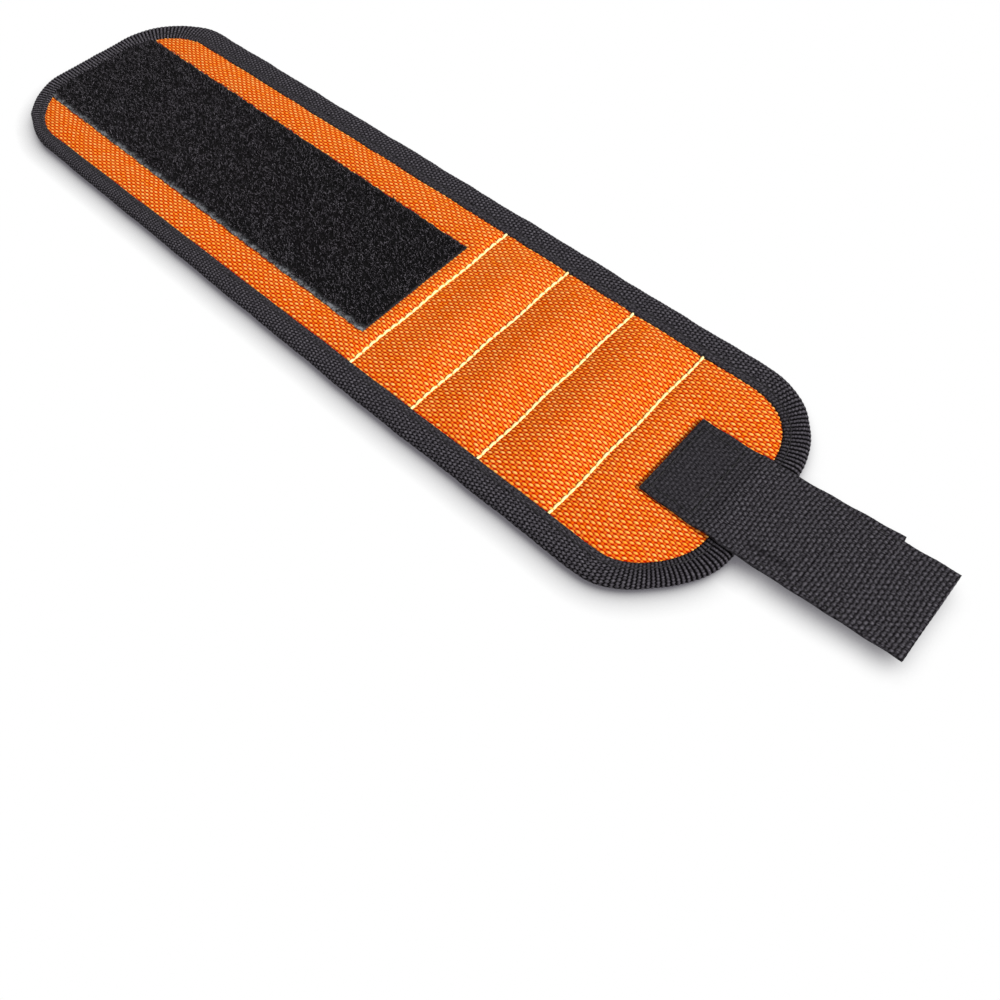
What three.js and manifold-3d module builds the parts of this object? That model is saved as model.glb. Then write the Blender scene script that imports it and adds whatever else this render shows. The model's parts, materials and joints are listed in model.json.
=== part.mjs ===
// Magnetic wristband, lying open with its outer face up. Millimetres, +X along the band towards the
// strap, +Y across it, +Z up. The band is cloth, so it is built as flat panels that hinge at their
// lining: five loop panels, three magnet pockets and the strap panel, then the strap and its tab.
import * as THREE from 'three';
import { mergeVertices } from 'three/addons/utils/BufferGeometryUtils.js';
import Module from 'manifold-3d';

// Band outline
const BAND_LENGTH = 330;
const BAND_WIDTH = 90;
const LOOP_END_CORNER_RADIUS = 31;
const STRAP_END_CORNER_RADIUS = 29;
const CORNER_STEPS = 10;

// Panels between the bends. The loop panels after the first share what the others leave.
const STRAP_PANEL_LENGTH = 47;
const POCKET_PITCH = 27.6;
const POCKET_COUNT = 3;
const LOOP_PANEL_COUNT = 5;
const LOOP_END_PANEL_LENGTH = 47;
const PANEL_GAP = 0.3;

// Layers, from the wrist outwards
const LINING_THICKNESS = 2.6;
const POCKET_LINING_THICKNESS = 2.4;
const SHELL_THICKNESS = 0.8;
const BINDING_THICKNESS = 0.7;
const LOOP_TAPE_THICKNESS = 1.6;
const EDGE_CLEARANCE = 0.3;

// How far the binding laps onto the band's faces
const SIDE_BINDING_LAP = 8.6;
const LOOP_END_BINDING_LAP = 7.7;
const STRAP_END_BINDING_LAP = 10;

// Loop tape
const LOOP_TAPE_WIDTH = 50;
const LOOP_TAPE_OFFSET = -0.8;
const LOOP_TAPE_TO_STITCH = 5.7;

// Magnets, in a row along each pocket
const MAGNET_DIAMETER = 11;
const MAGNET_THICKNESS = 2;
const MAGNET_GAP = 1.4;
const MAGNET_END_MARGIN = 5.9;
const MAGNET_BED_DEPTH = 0.6;
const MAGNET_HEADROOM = 0.2;
const MAGNET_CLEARANCE = 0.4;
const MAGNET_SIDES = 24;
const CROWN_STEPS = 4;

// Strap, sewn on at its inner end and turned a little to one side
const STRAP_WIDTH = 32;
const STRAP_THICKNESS = 1.4;
const STRAP_SEWN_LENGTH = 33.5;
const STRAP_FREE_LENGTH = 29.4;
const TAB_LENGTH = 16.5;
const STRAP_OFFSET = 2.1;
const STRAP_TURN = THREE.MathUtils.degToRad(2.5);
const STRAP_BINDING_CLEARANCE = 0.1;
const STRAP_RISE_LENGTH = 2;
const STRAP_RISE_SETBACK = 2;
const STRAP_HINGE_SETBACK = 1.6;
const STRAP_HINGE_GAP = 0.3;

// Hook tape under the free strap
const HOOK_THICKNESS = 1.2;
const HOOK_WIDTH = 32;
const HOOK_OFFSET = 0.8;
const HOOK_START_SETBACK = 4;
const HOOK_END_SETBACK = 1;

// Places, levels and widths that follow from the sizes above. The first stitch line is measured from
// the loop end.
const FIRST_STITCH = BAND_LENGTH - STRAP_PANEL_LENGTH - POCKET_COUNT * POCKET_PITCH;
const SHELL_TOP = LINING_THICKNESS + SHELL_THICKNESS;
const BINDING_TOP = SHELL_TOP + BINDING_THICKNESS;
const WINDOW_HALF_WIDTH = BAND_WIDTH / 2 - SIDE_BINDING_LAP;
const MAGNET_BED = POCKET_LINING_THICKNESS - MAGNET_BED_DEPTH;
const POCKET_CROWN = MAGNET_THICKNESS - MAGNET_BED_DEPTH + MAGNET_HEADROOM;
const MAGNET_HALF_SPAN = WINDOW_HALF_WIDTH - MAGNET_END_MARGIN;
const BED_HALF_WIDTH = MAGNET_DIAMETER / 2 + MAGNET_CLEARANCE;
const BED_HALF_SPAN = MAGNET_HALF_SPAN + MAGNET_CLEARANCE;

const wasm = await Module();
wasm.setup();

// A closed solid for joining and cutting, from a geometry whose shared corners are merged.
function toSolid(geometry) {
  const bare = geometry.clone();
  bare.deleteAttribute('normal');
  bare.deleteAttribute('uv');
  const merged = mergeVertices(bare, 1e-4);
  const corners = Array.from(merged.index.array);
  const kept = [];
  for (let i = 0; i < corners.length; i += 3) {
    const [a, b, c] = corners.slice(i, i + 3);
    if (a !== b && b !== c && c !== a) kept.push(a, b, c);
  }
  const vertProperties = new Float32Array(merged.attributes.position.array);
  const triVerts = new Uint32Array(kept);
  return new wasm.Manifold(new wasm.Mesh({ numProp: 3, vertProperties, triVerts }));
}

function toGeometry(solid) {
  const mesh = solid.getMesh();
  const geometry = new THREE.BufferGeometry();
  geometry.setAttribute('position', new THREE.BufferAttribute(mesh.vertProperties, 3));
  geometry.setIndex(new THREE.BufferAttribute(mesh.triVerts, 1));
  geometry.computeVertexNormals();
  return geometry;
}

function prism(shape, bottom, top) {
  const settings = { depth: top - bottom, bevelEnabled: false, curveSegments: CORNER_STEPS };
  const geometry = new THREE.ExtrudeGeometry(shape, settings);
  geometry.translate(0, 0, bottom);
  return toSolid(geometry);
}

function rectangle(left, right, front, rear) {
  const shape = new THREE.Shape();
  shape.moveTo(left, front);
  shape.lineTo(right, front);
  shape.lineTo(right, rear);
  shape.lineTo(left, rear);
  return shape;
}

// A panel seen from above. Only the band's two ends are drawn in and have round corners.
function panelOutline(panel, sideInset, endInset) {
  const half = BAND_WIDTH / 2 - sideInset;
  const inset = (sideInset + endInset) / 2;
  const left = panel.from + (panel.startRadius ? endInset : 0);
  const right = panel.to - (panel.endRadius ? endInset : 0);
  const start = Math.max(panel.startRadius - inset, 0);
  const end = Math.max(panel.endRadius - inset, 0);
  const quarter = Math.PI / 2;
  const shape = new THREE.Shape();
  shape.moveTo(left + start, -half);
  shape.lineTo(right - end, -half);
  if (end) shape.absarc(right - end, -half + end, end, -quarter, 0);
  shape.lineTo(right, half - end);
  if (end) shape.absarc(right - end, half - end, end, 0, quarter);
  shape.lineTo(left + start, half);
  if (start) shape.absarc(left + start, half - start, start, quarter, 2 * quarter);
  shape.lineTo(left, -half + start);
  if (start) shape.absarc(left + start, -half + start, start, 2 * quarter, 3 * quarter);
  return shape;
}

// The cloth inside the fold of the binding, and the window that the binding leaves open.
function clothOutline(panel) {
  const inset = BINDING_THICKNESS + EDGE_CLEARANCE;
  return panelOutline(panel, inset, inset);
}

function windowOutline(panel, clearance) {
  return panelOutline(panel, SIDE_BINDING_LAP + clearance, panel.endLap + clearance);
}

// Padded mesh lining: full depth in the window, thinner where the binding folds under it. In a
// pocket its upper side has a pressed-in bed for the magnets.
function liningSolid(panel) {
  const top = panel.pocket ? POCKET_LINING_THICKNESS : LINING_THICKNESS;
  const hem = prism(clothOutline(panel), BINDING_THICKNESS, top);
  const pad = prism(windowOutline(panel, EDGE_CLEARANCE), 0, top);
  const lining = hem.add(pad);
  if (!panel.pocket) return lining;
  const left = panel.middle - BED_HALF_WIDTH;
  const right = panel.middle + BED_HALF_WIDTH;
  const bed = rectangle(left, right, -BED_HALF_SPAN, BED_HALF_SPAN);
  return lining.subtract(prism(bed, MAGNET_BED, top + LINING_THICKNESS));
}

// Binding tape folded round the edge: an upper and a lower lap with the cloth's slot between them.
function bindingSolid(panel) {
  const slot = panelOutline(panel, BINDING_THICKNESS, BINDING_THICKNESS);
  const folded = prism(panelOutline(panel, 0, 0), 0, BINDING_TOP);
  const open = folded.subtract(prism(slot, BINDING_THICKNESS, SHELL_TOP));
  return open.subtract(prism(windowOutline(panel, 0), -BINDING_TOP, 2 * BINDING_TOP));
}

function bindingSide(panel, side) {
  const outer = side * BAND_WIDTH;
  const half = rectangle(panel.from, panel.to, Math.min(0, outer), Math.max(0, outer));
  return bindingSolid(panel).intersect(prism(half, 0, BINDING_TOP));
}

// How far a pocket's cloth has risen, from 0 at a seam to 1 over the magnets.
function riseAt(place, flat, seam) {
  const share = THREE.MathUtils.clamp((Math.abs(place) - flat) / (seam - flat), 0, 1);
  return 0.5 + 0.5 * Math.cos(Math.PI * share);
}

function crownStations(flat, seam) {
  const side = [];
  for (let i = 0; i <= CROWN_STEPS; i += 1) side.push(flat + ((seam - flat) * i) / CROWN_STEPS);
  return [...side.map((s) => -s).reverse(), ...side];
}

// Pocket cloth: a sheet that rises from the seams over the magnets, flat on top.
function pocketShellGeometry(panel) {
  const halfLength = (panel.to - panel.from) / 2;
  const clothHalf = BAND_WIDTH / 2 - BINDING_THICKNESS - EDGE_CLEARANCE;
  const along = crownStations(BED_HALF_WIDTH, halfLength);
  const across = [-clothHalf, ...crownStations(BED_HALF_SPAN, WINDOW_HALF_WIDTH), clothHalf];
  const positions = [];
  for (const level of [POCKET_LINING_THICKNESS + SHELL_THICKNESS, POCKET_LINING_THICKNESS]) {
    for (const y of across) {
      for (const x of along) {
        const acrossRise = riseAt(y, BED_HALF_SPAN, WINDOW_HALF_WIDTH);
        const rise = riseAt(x, BED_HALF_WIDTH, halfLength) * acrossRise;
        positions.push(panel.middle + x, y, level + POCKET_CROWN * rise);
      }
    }
  }
  const columns = along.length;
  const rows = across.length;
  const under = columns * rows;
  const faces = [];
  const quad = (a, b, c, d) => faces.push(a, b, c, a, c, d);
  for (let r = 0; r + 1 < rows; r += 1) {
    for (let c = 0; c + 1 < columns; c += 1) {
      const a = r * columns + c;
      const b = a + 1;
      quad(a, b, b + columns, a + columns);
      quad(under + a, under + a + columns, under + b + columns, under + b);
    }
  }
  const rim = [];
  for (let c = 0; c + 1 < columns; c += 1) rim.push(c);
  for (let r = 0; r + 1 < rows; r += 1) rim.push(r * columns + columns - 1);
  for (let c = columns - 1; c > 0; c -= 1) rim.push((rows - 1) * columns + c);
  for (let r = rows - 1; r > 0; r -= 1) rim.push(r * columns);
  rim.forEach((a, i) => {
    const b = rim[(i + 1) % rim.length];
    quad(a, under + a, under + b, b);
  });
  const geometry = new THREE.BufferGeometry();
  geometry.setAttribute('position', new THREE.Float32BufferAttribute(positions, 3));
  geometry.setIndex(faces);
  geometry.computeVertexNormals();
  return geometry;
}

// Loop tape: one straight tape that stops at the end binding and short of the first stitch line.
function loopTapeSolid(panel) {
  const front = LOOP_TAPE_OFFSET - LOOP_TAPE_WIDTH / 2;
  const right = Math.min(panel.to, FIRST_STITCH - LOOP_TAPE_TO_STITCH);
  const tape = rectangle(panel.from, right, front, front + LOOP_TAPE_WIDTH);
  const top = SHELL_TOP + LOOP_TAPE_THICKNESS;
  const open = prism(windowOutline(panel, EDGE_CLEARANCE), 0, 2 * top);
  return prism(tape, SHELL_TOP, top).intersect(open);
}

// A flat piece of the strap: its side view in the strap's own length and height, spread to a width.
function strapGeometry(sideView, width) {
  const shape = new THREE.Shape(sideView.map(([x, z]) => new THREE.Vector2(x, z)));
  const geometry = new THREE.ExtrudeGeometry(shape, { depth: width, bevelEnabled: false });
  geometry.rotateX(Math.PI / 2);
  geometry.translate(0, width / 2, 0);
  return geometry;
}

const material = (color, roughness, metalness = 0) =>
  new THREE.MeshStandardMaterial({ color, roughness, metalness });

const SHELL_FABRIC = ['#f4741a', 0.6];
const LINING_MESH = ['#1b1b1d', 0.95];
const BINDING_TAPE = ['#242426', 0.85];
const LOOP_PILE = ['#171719', 0.95];
const WEBBING = ['#343438', 0.8];
const HOOK_TAPE = ['#151517', 0.6];
const NICKEL = ['#b9bcc0', 0.3, 1];

const wristband = new THREE.Group();

function addMesh(name, geometry, finish, parent = wristband) {
  const mesh = new THREE.Mesh(geometry, material(...finish));
  mesh.name = name;
  parent.add(mesh);
  return mesh;
}

// Bend lines along the band: the loop end, the loop panels' bends, the stitch lines, the strap end.
const loopStep = (FIRST_STITCH - LOOP_END_PANEL_LENGTH) / (LOOP_PANEL_COUNT - 1);
const bendLines = [0];
for (let i = 0; i < LOOP_PANEL_COUNT; i += 1) bendLines.push(LOOP_END_PANEL_LENGTH + i * loopStep);
for (let i = 1; i <= POCKET_COUNT; i += 1) bendLines.push(FIRST_STITCH + i * POCKET_PITCH);
bendLines.push(BAND_LENGTH);

const panels = bendLines.slice(0, -1).map((line, i) => {
  const first = i === 0;
  const last = i === bendLines.length - 2;
  const pocket = i >= LOOP_PANEL_COUNT && !last;
  const from = line + (first ? 0 : PANEL_GAP / 2);
  const to = bendLines[i + 1] - (last ? 0 : PANEL_GAP / 2);
  let name = `loop_panel_${i + 1}`;
  if (pocket) name = `pocket_${i + 1 - LOOP_PANEL_COUNT}`;
  if (last) name = 'strap_panel';
  return {
    name,
    from,
    to,
    middle: (from + to) / 2,
    pocket,
    loopTape: i < LOOP_PANEL_COUNT,
    startRadius: first ? LOOP_END_CORNER_RADIUS : 0,
    endRadius: last ? STRAP_END_CORNER_RADIUS : 0,
    endLap: last ? STRAP_END_BINDING_LAP : LOOP_END_BINDING_LAP,
  };
});

function addMagnets(panel) {
  const span = 2 * MAGNET_HALF_SPAN;
  const count = Math.floor((span + MAGNET_GAP) / (MAGNET_DIAMETER + MAGNET_GAP));
  const pitch = (span - MAGNET_DIAMETER) / (count - 1);
  const radius = MAGNET_DIAMETER / 2;
  for (let i = 0; i < count; i += 1) {
    const disc = new THREE.CylinderGeometry(radius, radius, MAGNET_THICKNESS, MAGNET_SIDES);
    disc.rotateX(Math.PI / 2);
    const magnet = addMesh(`${panel.name}_magnet_${i + 1}`, disc, NICKEL);
    const y = -MAGNET_HALF_SPAN + radius + i * pitch;
    magnet.position.set(panel.middle, y, MAGNET_BED + MAGNET_THICKNESS / 2);
  }
}

function addPanel(panel) {
  const { name } = panel;
  addMesh(`${name}_lining`, toGeometry(liningSolid(panel)), LINING_MESH);
  const shell = panel.pocket
    ? pocketShellGeometry(panel)
    : toGeometry(prism(clothOutline(panel), LINING_THICKNESS, SHELL_TOP));
  addMesh(`${name}_shell`, shell, SHELL_FABRIC);
  if (panel.startRadius || panel.endRadius) {
    addMesh(`${name}_binding`, toGeometry(bindingSolid(panel)), BINDING_TAPE);
  } else {
    addMesh(`${name}_binding_front`, toGeometry(bindingSide(panel, -1)), BINDING_TAPE);
    addMesh(`${name}_binding_rear`, toGeometry(bindingSide(panel, 1)), BINDING_TAPE);
  }
  if (panel.loopTape) addMesh(`${name}_loop_tape`, toGeometry(loopTapeSolid(panel)), LOOP_PILE);
  if (panel.pocket) addMagnets(panel);
}

// The strap lies in a group of its own: its length runs from the sewn end, its hinges are at half
// its thickness, and its pieces are bevelled there so that it can bend both ways.
function addStrap() {
  const strap = new THREE.Group();
  strap.position.set(BAND_LENGTH - STRAP_SEWN_LENGTH, STRAP_OFFSET, 0);
  strap.rotation.z = STRAP_TURN;
  wristband.add(strap);

  const seat = SHELL_TOP;
  const low = BINDING_TOP + STRAP_BINDING_CLEARANCE;
  const high = low + STRAP_THICKNESS;
  const mid = (low + high) / 2;
  const bevel = STRAP_THICKNESS / 2;
  const half = STRAP_HINGE_GAP / 2;
  const riseEnd = STRAP_SEWN_LENGTH - STRAP_END_BINDING_LAP - STRAP_RISE_SETBACK;
  const riseStart = riseEnd - STRAP_RISE_LENGTH;
  const strapHinge = STRAP_SEWN_LENGTH + STRAP_HINGE_SETBACK;
  const tabHinge = strapHinge + STRAP_FREE_LENGTH;
  const tip = tabHinge + TAB_LENGTH;

  const pointBefore = (x) => [[x - half - bevel, low], [x - half, mid], [x - half - bevel, high]];
  const pointAfter = (x) => [[x + half + bevel, high], [x + half, mid], [x + half + bevel, low]];

  const sewn = [
    [0, seat],
    [riseStart, seat],
    [riseEnd, low],
    ...pointBefore(strapHinge),
    [riseEnd, high],
    [riseStart, seat + STRAP_THICKNESS],
    [0, seat + STRAP_THICKNESS],
  ];
  addMesh('strap_sewn_end', strapGeometry(sewn, STRAP_WIDTH), WEBBING, strap);
  const free = [...pointBefore(tabHinge), ...pointAfter(strapHinge)];
  addMesh('strap_free_length', strapGeometry(free, STRAP_WIDTH), WEBBING, strap);
  const tab = [[tip, low], [tip, high], ...pointAfter(tabHinge)];
  addMesh('strap_pull_tab', strapGeometry(tab, STRAP_WIDTH), WEBBING, strap);

  const hookFrom = strapHinge + HOOK_START_SETBACK;
  const hookTo = tabHinge - HOOK_END_SETBACK;
  const under = low - HOOK_THICKNESS;
  const hook = [[hookFrom, under], [hookTo, under], [hookTo, low], [hookFrom, low]];
  const hookMesh = addMesh('hook_tape', strapGeometry(hook, HOOK_WIDTH), HOOK_TAPE, strap);
  hookMesh.position.y = HOOK_OFFSET;
}

panels.forEach(addPanel);
addStrap();

// Origin under the middle of the whole band, strap included.
wristband.updateMatrixWorld(true);
const extent = new THREE.Box3().setFromObject(wristband, true);
wristband.position.x = -(extent.min.x + extent.max.x) / 2;
wristband.position.y = -(extent.min.y + extent.max.y) / 2;
wristband.updateMatrixWorld(true);

export default wristband;
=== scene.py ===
"""Looks of a magnetic wristband that lies open, outer face up. Lengths are in millimetres until a
mesh is made. x runs along the band towards the strap, y across it, z up."""
import json
import math

import bmesh
import bpy
import numpy as np
from mathutils import Matrix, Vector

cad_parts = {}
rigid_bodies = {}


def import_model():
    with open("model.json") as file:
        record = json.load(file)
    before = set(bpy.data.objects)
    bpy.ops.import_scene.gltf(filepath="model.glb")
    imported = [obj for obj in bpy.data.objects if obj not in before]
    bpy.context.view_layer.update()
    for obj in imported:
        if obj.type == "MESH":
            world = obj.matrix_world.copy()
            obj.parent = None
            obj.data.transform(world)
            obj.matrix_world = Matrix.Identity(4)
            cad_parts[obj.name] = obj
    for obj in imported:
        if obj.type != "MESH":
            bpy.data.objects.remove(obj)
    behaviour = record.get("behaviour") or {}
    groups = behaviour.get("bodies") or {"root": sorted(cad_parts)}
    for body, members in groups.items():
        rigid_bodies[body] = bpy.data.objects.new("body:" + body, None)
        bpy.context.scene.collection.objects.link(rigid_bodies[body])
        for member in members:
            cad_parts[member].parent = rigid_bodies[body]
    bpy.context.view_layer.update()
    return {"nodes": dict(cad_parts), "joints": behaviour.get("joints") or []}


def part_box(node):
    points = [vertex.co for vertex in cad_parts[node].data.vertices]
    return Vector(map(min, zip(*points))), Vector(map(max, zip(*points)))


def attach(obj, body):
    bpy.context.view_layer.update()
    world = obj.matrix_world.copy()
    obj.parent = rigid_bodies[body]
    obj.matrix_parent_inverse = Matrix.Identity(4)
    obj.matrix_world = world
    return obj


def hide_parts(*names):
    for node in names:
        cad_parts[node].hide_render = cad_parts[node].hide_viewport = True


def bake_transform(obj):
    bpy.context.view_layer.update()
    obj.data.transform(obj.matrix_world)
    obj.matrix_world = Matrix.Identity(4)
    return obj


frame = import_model()

MM = 0.001

# Camera, from the two vanishing points of the band's edges
CAMERA_PLACE = (160.83, -123.93, 206.21)
CAMERA_HEADING = 44.68
CAMERA_TILT = 29.33
CAMERA_ROLL = -2.91
CAMERA_LENS = 29.41

# Band outline and layers, as in the solids
PANELS = [f"loop_panel_{i}" for i in range(1, 6)]
PANELS += [f"pocket_{i}" for i in range(1, 4)] + ["strap_panel"]
LOOP_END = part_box("loop_panel_1_binding")[0].x / MM
STRAP_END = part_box("strap_panel_binding")[1].x / MM
HALF_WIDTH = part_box("strap_panel_binding")[1].y / MM
LOOP_CORNER = 31.0
STRAP_CORNER = 29.0
SIDE_LAP = 8.6
LOOP_END_LAP = 7.7
STRAP_END_LAP = 8.8
SHELL_LEVEL = 3.3
LINING_TOP = 2.4
CLOTH_INSET = 3.5

# The binding's inner edge, and half the widths of the cloth inside it and under it
LAPS = (SIDE_LAP, LOOP_END_LAP, STRAP_END_LAP)
WINDOW_HALF = HALF_WIDTH - SIDE_LAP
CLOTH_HALF = HALF_WIDTH - CLOTH_INSET

# How far the edges of this band stand out from that outline, as it was sewn. The front edge draws in
# from the middle of the band to the loop end.
REAR_EDGE_OUT = 3.0
REAR_WINDOW_OUT = 0.9
FRONT_EDGE_OUT = 0.8
FRONT_WINDOW_OUT = 0.6
FRONT_DRAWN_IN = 3.6
FRONT_DRAWN_FROM = 215.0
FRONT_DRAWN_TO = 30.0
LOOP_END_OUT = 1.7
STRAP_END_IN = 0.9

# Corners that stand out or in: end, radius from it, side, and how far at the window and at the edge
CORNERS_OUT = [
    (LOOP_END, LOOP_CORNER, -1, -0.2, -2.5),
    (LOOP_END, LOOP_CORNER, 1, 0.9, 2.1),
    (STRAP_END, -STRAP_CORNER, -1, -1.6, -3.2),
    (STRAP_END, -STRAP_CORNER, 1, 0.5, 0.6),
]

# Bends between the panels. The last four are the stitch lines.
JOINT_AT = {frozenset((j["parent"], j["child"])): j["pos_m"] for j in frame["joints"]}
BENDS = [JOINT_AT[frozenset(pair)][0] / MM for pair in zip(PANELS, PANELS[1:])]
FIRST_STITCH = 4
STITCH_LINES = BENDS[FIRST_STITCH:]
CUTS = [LOOP_END, *[(a + b) / 2 for a, b in zip(BENDS, BENDS[1:])], STRAP_END]

# Orange cloth: plain weave, its lengthwise yarns finer than its crosswise ones. A yarn is its level
# and how steeply its sides fall.
ROW_PITCH = 0.97
COLUMN_PITCH = 1.5
WEAVE_RELIEF = 0.22
YARN_SLANT = 0.26
LENGTHWISE_YARN = (0.6, 3.8)
CROSSWISE_YARN = (0.2, 2.4)
POCKET_CROWN = 2.45
POCKET_PEAKS = (0.58, 0.5, 0.48)
POCKET_SWELLS = (0.8, 0.95, 1.0)
STRAP_PANEL_FLAT = 0.5
STITCH_DIP = 0.45
DIP_REACH = 1.5
PUCKER = 0.07
PUCKER_REACH = 5
HEM_DROP = 0.35

# Padded lining: level of its sewn edge, how far it swells below that, its eyelets, the beds of the
# magnets in its upper face, and the grooves at its stitch lines
LINING_EDGE = 0.85
LINING_SWELL = (0.1, 0.65)
EYELET_PITCH = (3.0, 5.2)
EYELET_DEPTH = 0.3
BED_DEPTH = 0.75
BED_REACH = (6.0, 8.0)
GROOVE_DEPTH = 0.3

# Loop tape. It is sewn on slightly askew.
TAPE_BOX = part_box("loop_panel_5_loop_tape")
TAPE_FRONT = TAPE_BOX[0].y / MM
TAPE_REAR = TAPE_BOX[1].y / MM
TAPE_END = TAPE_BOX[1].x / MM
TAPE_LEVEL = 4.15
TAPE_EDGE_DROP = 0.35
TAPE_SKEW = -0.0126
TAPE_SKEW_ABOUT = LOOP_END + 141.0
FRONT_SELVEDGE = 1.7
REAR_SELVEDGE = 0.8
LOOPS_PER_SQUARE_METRE = 1.75e6
LOOP_HEIGHT = 0.95
LOOP_RADIUS = 0.11

# Binding tape. Its ribs are evenly spaced along a line, RIB_LINE in from the edge. RIBBED and RAISED
# are for the sides, and how much more at the ends. INNER_FLAT is how much flatter the inner edge is
# on the sides and at the strap end, and it fades out over INNER_EDGE.
RIB_PITCH = 1.36
BEAD_PITCH = 1.12
RIB_HEIGHT = 0.13
BINDING_SEAM = 2.3
RIB_LINE = 4.0
BINDING_RIBBED = (0.42, 0.4)
BINDING_RAISED = (0.8, 0.2)
INNER_EDGE = (2.6, 4.2)
INNER_FLAT = (0.45, 0.35)
# How much darker the tape is painted at the strap end, as shade
STRAP_END_SHADE = 0.45
BINDING_THREAD_LEVELS = (3.76, 0.4)

# Stitches: spacing, length, thread radius, and how far they rise
POCKET_STITCH = (3.1, 2.8, 0.46, 0.5)
LOWER_STITCH = (3.1, 2.7, 0.3, -0.2)
BINDING_STITCH = (2.7, 2.2, 0.22, 0.12)
HOOK_TAPE_STITCH = (3.0, 2.3, 0.2, 0.15)
STRAP_STITCH = (2.6, 2.0, 0.26, 0.2)
LOWER_THREAD_LEVEL = 0.72

# Strap: its own length u runs from the sewn end, v across it. It is sewn on straight and then turns
# a little to the rear.
STRAP_START = (STRAP_END - 32.9, 1.6)
STRAP_LENGTH = 80.4
STRAP_TURN_AT = 31.0
STRAP_TURN = 0.065
STRAP_HALF = 15.8
STRAP_WIDENS = 1.5
STRAP_STEP = 64.1
STRAP_HINGE = 34.5
TAB_HINGE = 63.9
MID_STRAP = (STRAP_HINGE + TAB_HINGE) / 2
STRAP_SEAT = 3.45
STRAP_HIGH = 4.25
STRAP_CLIMB = (18.0, 22.5)
STRAP_THICKNESS = 1.3
STRAP_ROUNDING = 0.7
TAB_DROP = 0.12
STRAP_RIB = 1.24
STRAP_BEAD = 1.86
STRAP_RIB_HEIGHT = 0.12
STRAP_RIBBED = 0.6
SEWN_END_FADE = (12, 22)
BOX_STITCH = [(2.2, -13.0), (16.0, -13.0), (16.0, 13.0), (2.2, 13.0), (2.2, -13.0)]
BOX_DENT = 0.12

# Crease in the strap: from and to in u, v at its start, slope and depth
CREASE = (30.0, 48.0, -11.0, 0.04, 0.45)

# Hook tape under the strap, with a hook on each square of its grid
HOOK_FROM = 38.5
HOOK_TO = 62.9
HOOK_LEVEL = 3.68
HOOK_SEAMS = (-14.2, 14.6)
HOOK_HEIGHT = 0.4
HOOK_RADIUS = 0.15
HOOK_GRID = (17, 26)

# Stage. A lamp is its name, place, diameter and power.
SHADOW = "#6c6a70"
SHADOW_REACH = 9
FLOOR_LEVEL = -0.4
FLOOR_REACH = 2000
ROOM_LIGHT = 0.4
LAMP_TARGET = (80, 0, 0)
LAMPS = [
    ("key_lamp", (3060, 780, 2460), 1350, 207.0),
    ("fill_lamp", (420, -620, 700), 600, 2.5),
]


def linear(colour):
    """An sRGB hex colour as linear RGBA."""
    parts = [int(colour[i:i + 2], 16) / 255 for i in (1, 3, 5)]
    return [p / 12.92 if p <= 0.04045 else ((p + 0.055) / 1.055) ** 2.4 for p in parts] + [1]


def add(tree, kind, links=None, **settings):
    """Adds one node to a tree. Settings are its properties. Links are its inputs by name or number,
    each a value, a hex colour, another node or one of that node's outputs."""
    made = tree.nodes.new(kind)
    for name, value in settings.items():
        setattr(made, name, value)
    for name, value in (links or {}).items():
        named = [socket for socket in made.inputs if socket.enabled and socket.name == name]
        socket = named[0] if named else made.inputs[name]
        if isinstance(value, bpy.types.Node):
            value = next(output for output in value.outputs if output.enabled)
        if isinstance(value, bpy.types.NodeSocket):
            tree.links.new(value, socket)
        else:
            is_colour = isinstance(value, str) and value.startswith("#")
            socket.default_value = linear(value) if is_colour else value
    return made


def empty_tree(owner):
    """The node tree of a material or a world, with no nodes in it."""
    owner.use_nodes = True
    owner.node_tree.nodes.clear()
    return owner.node_tree


# Materials

def new_material(name, *keys):
    """An empty material, its tree, the piece's own coordinates for its patterns, and the values with
    these keys at the piece's points."""
    material = bpy.data.materials.new(name)
    tree = empty_tree(material)
    place = add(tree, "ShaderNodeTexCoord").outputs["Object"]
    read = [add(tree, "ShaderNodeAttribute", attribute_name=key).outputs["Fac"] for key in keys]
    return material, tree, place, *read


def grains(size):
    """Scale of a noise whose grains are this many millimetres across."""
    return 1 / (size * MM)


def finish_material(material, colour, roughness, fibres, depth, specular=0.5, metallic=0.0):
    """Joins a colour, a roughness and a bump of stray fibres, this many millimetres deep."""
    tree = material.node_tree
    bump = add(tree, "ShaderNodeBump", {"Height": fibres, "Distance": depth * MM, "Strength": 0.6})
    links = {"Base Color": colour, "Roughness": roughness, "Normal": bump}
    links |= {"Specular IOR Level": specular, "Metallic": metallic}
    surface = add(tree, "ShaderNodeBsdfPrincipled", links)
    add(tree, "ShaderNodeOutputMaterial", {"Surface": surface})
    return material


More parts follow.
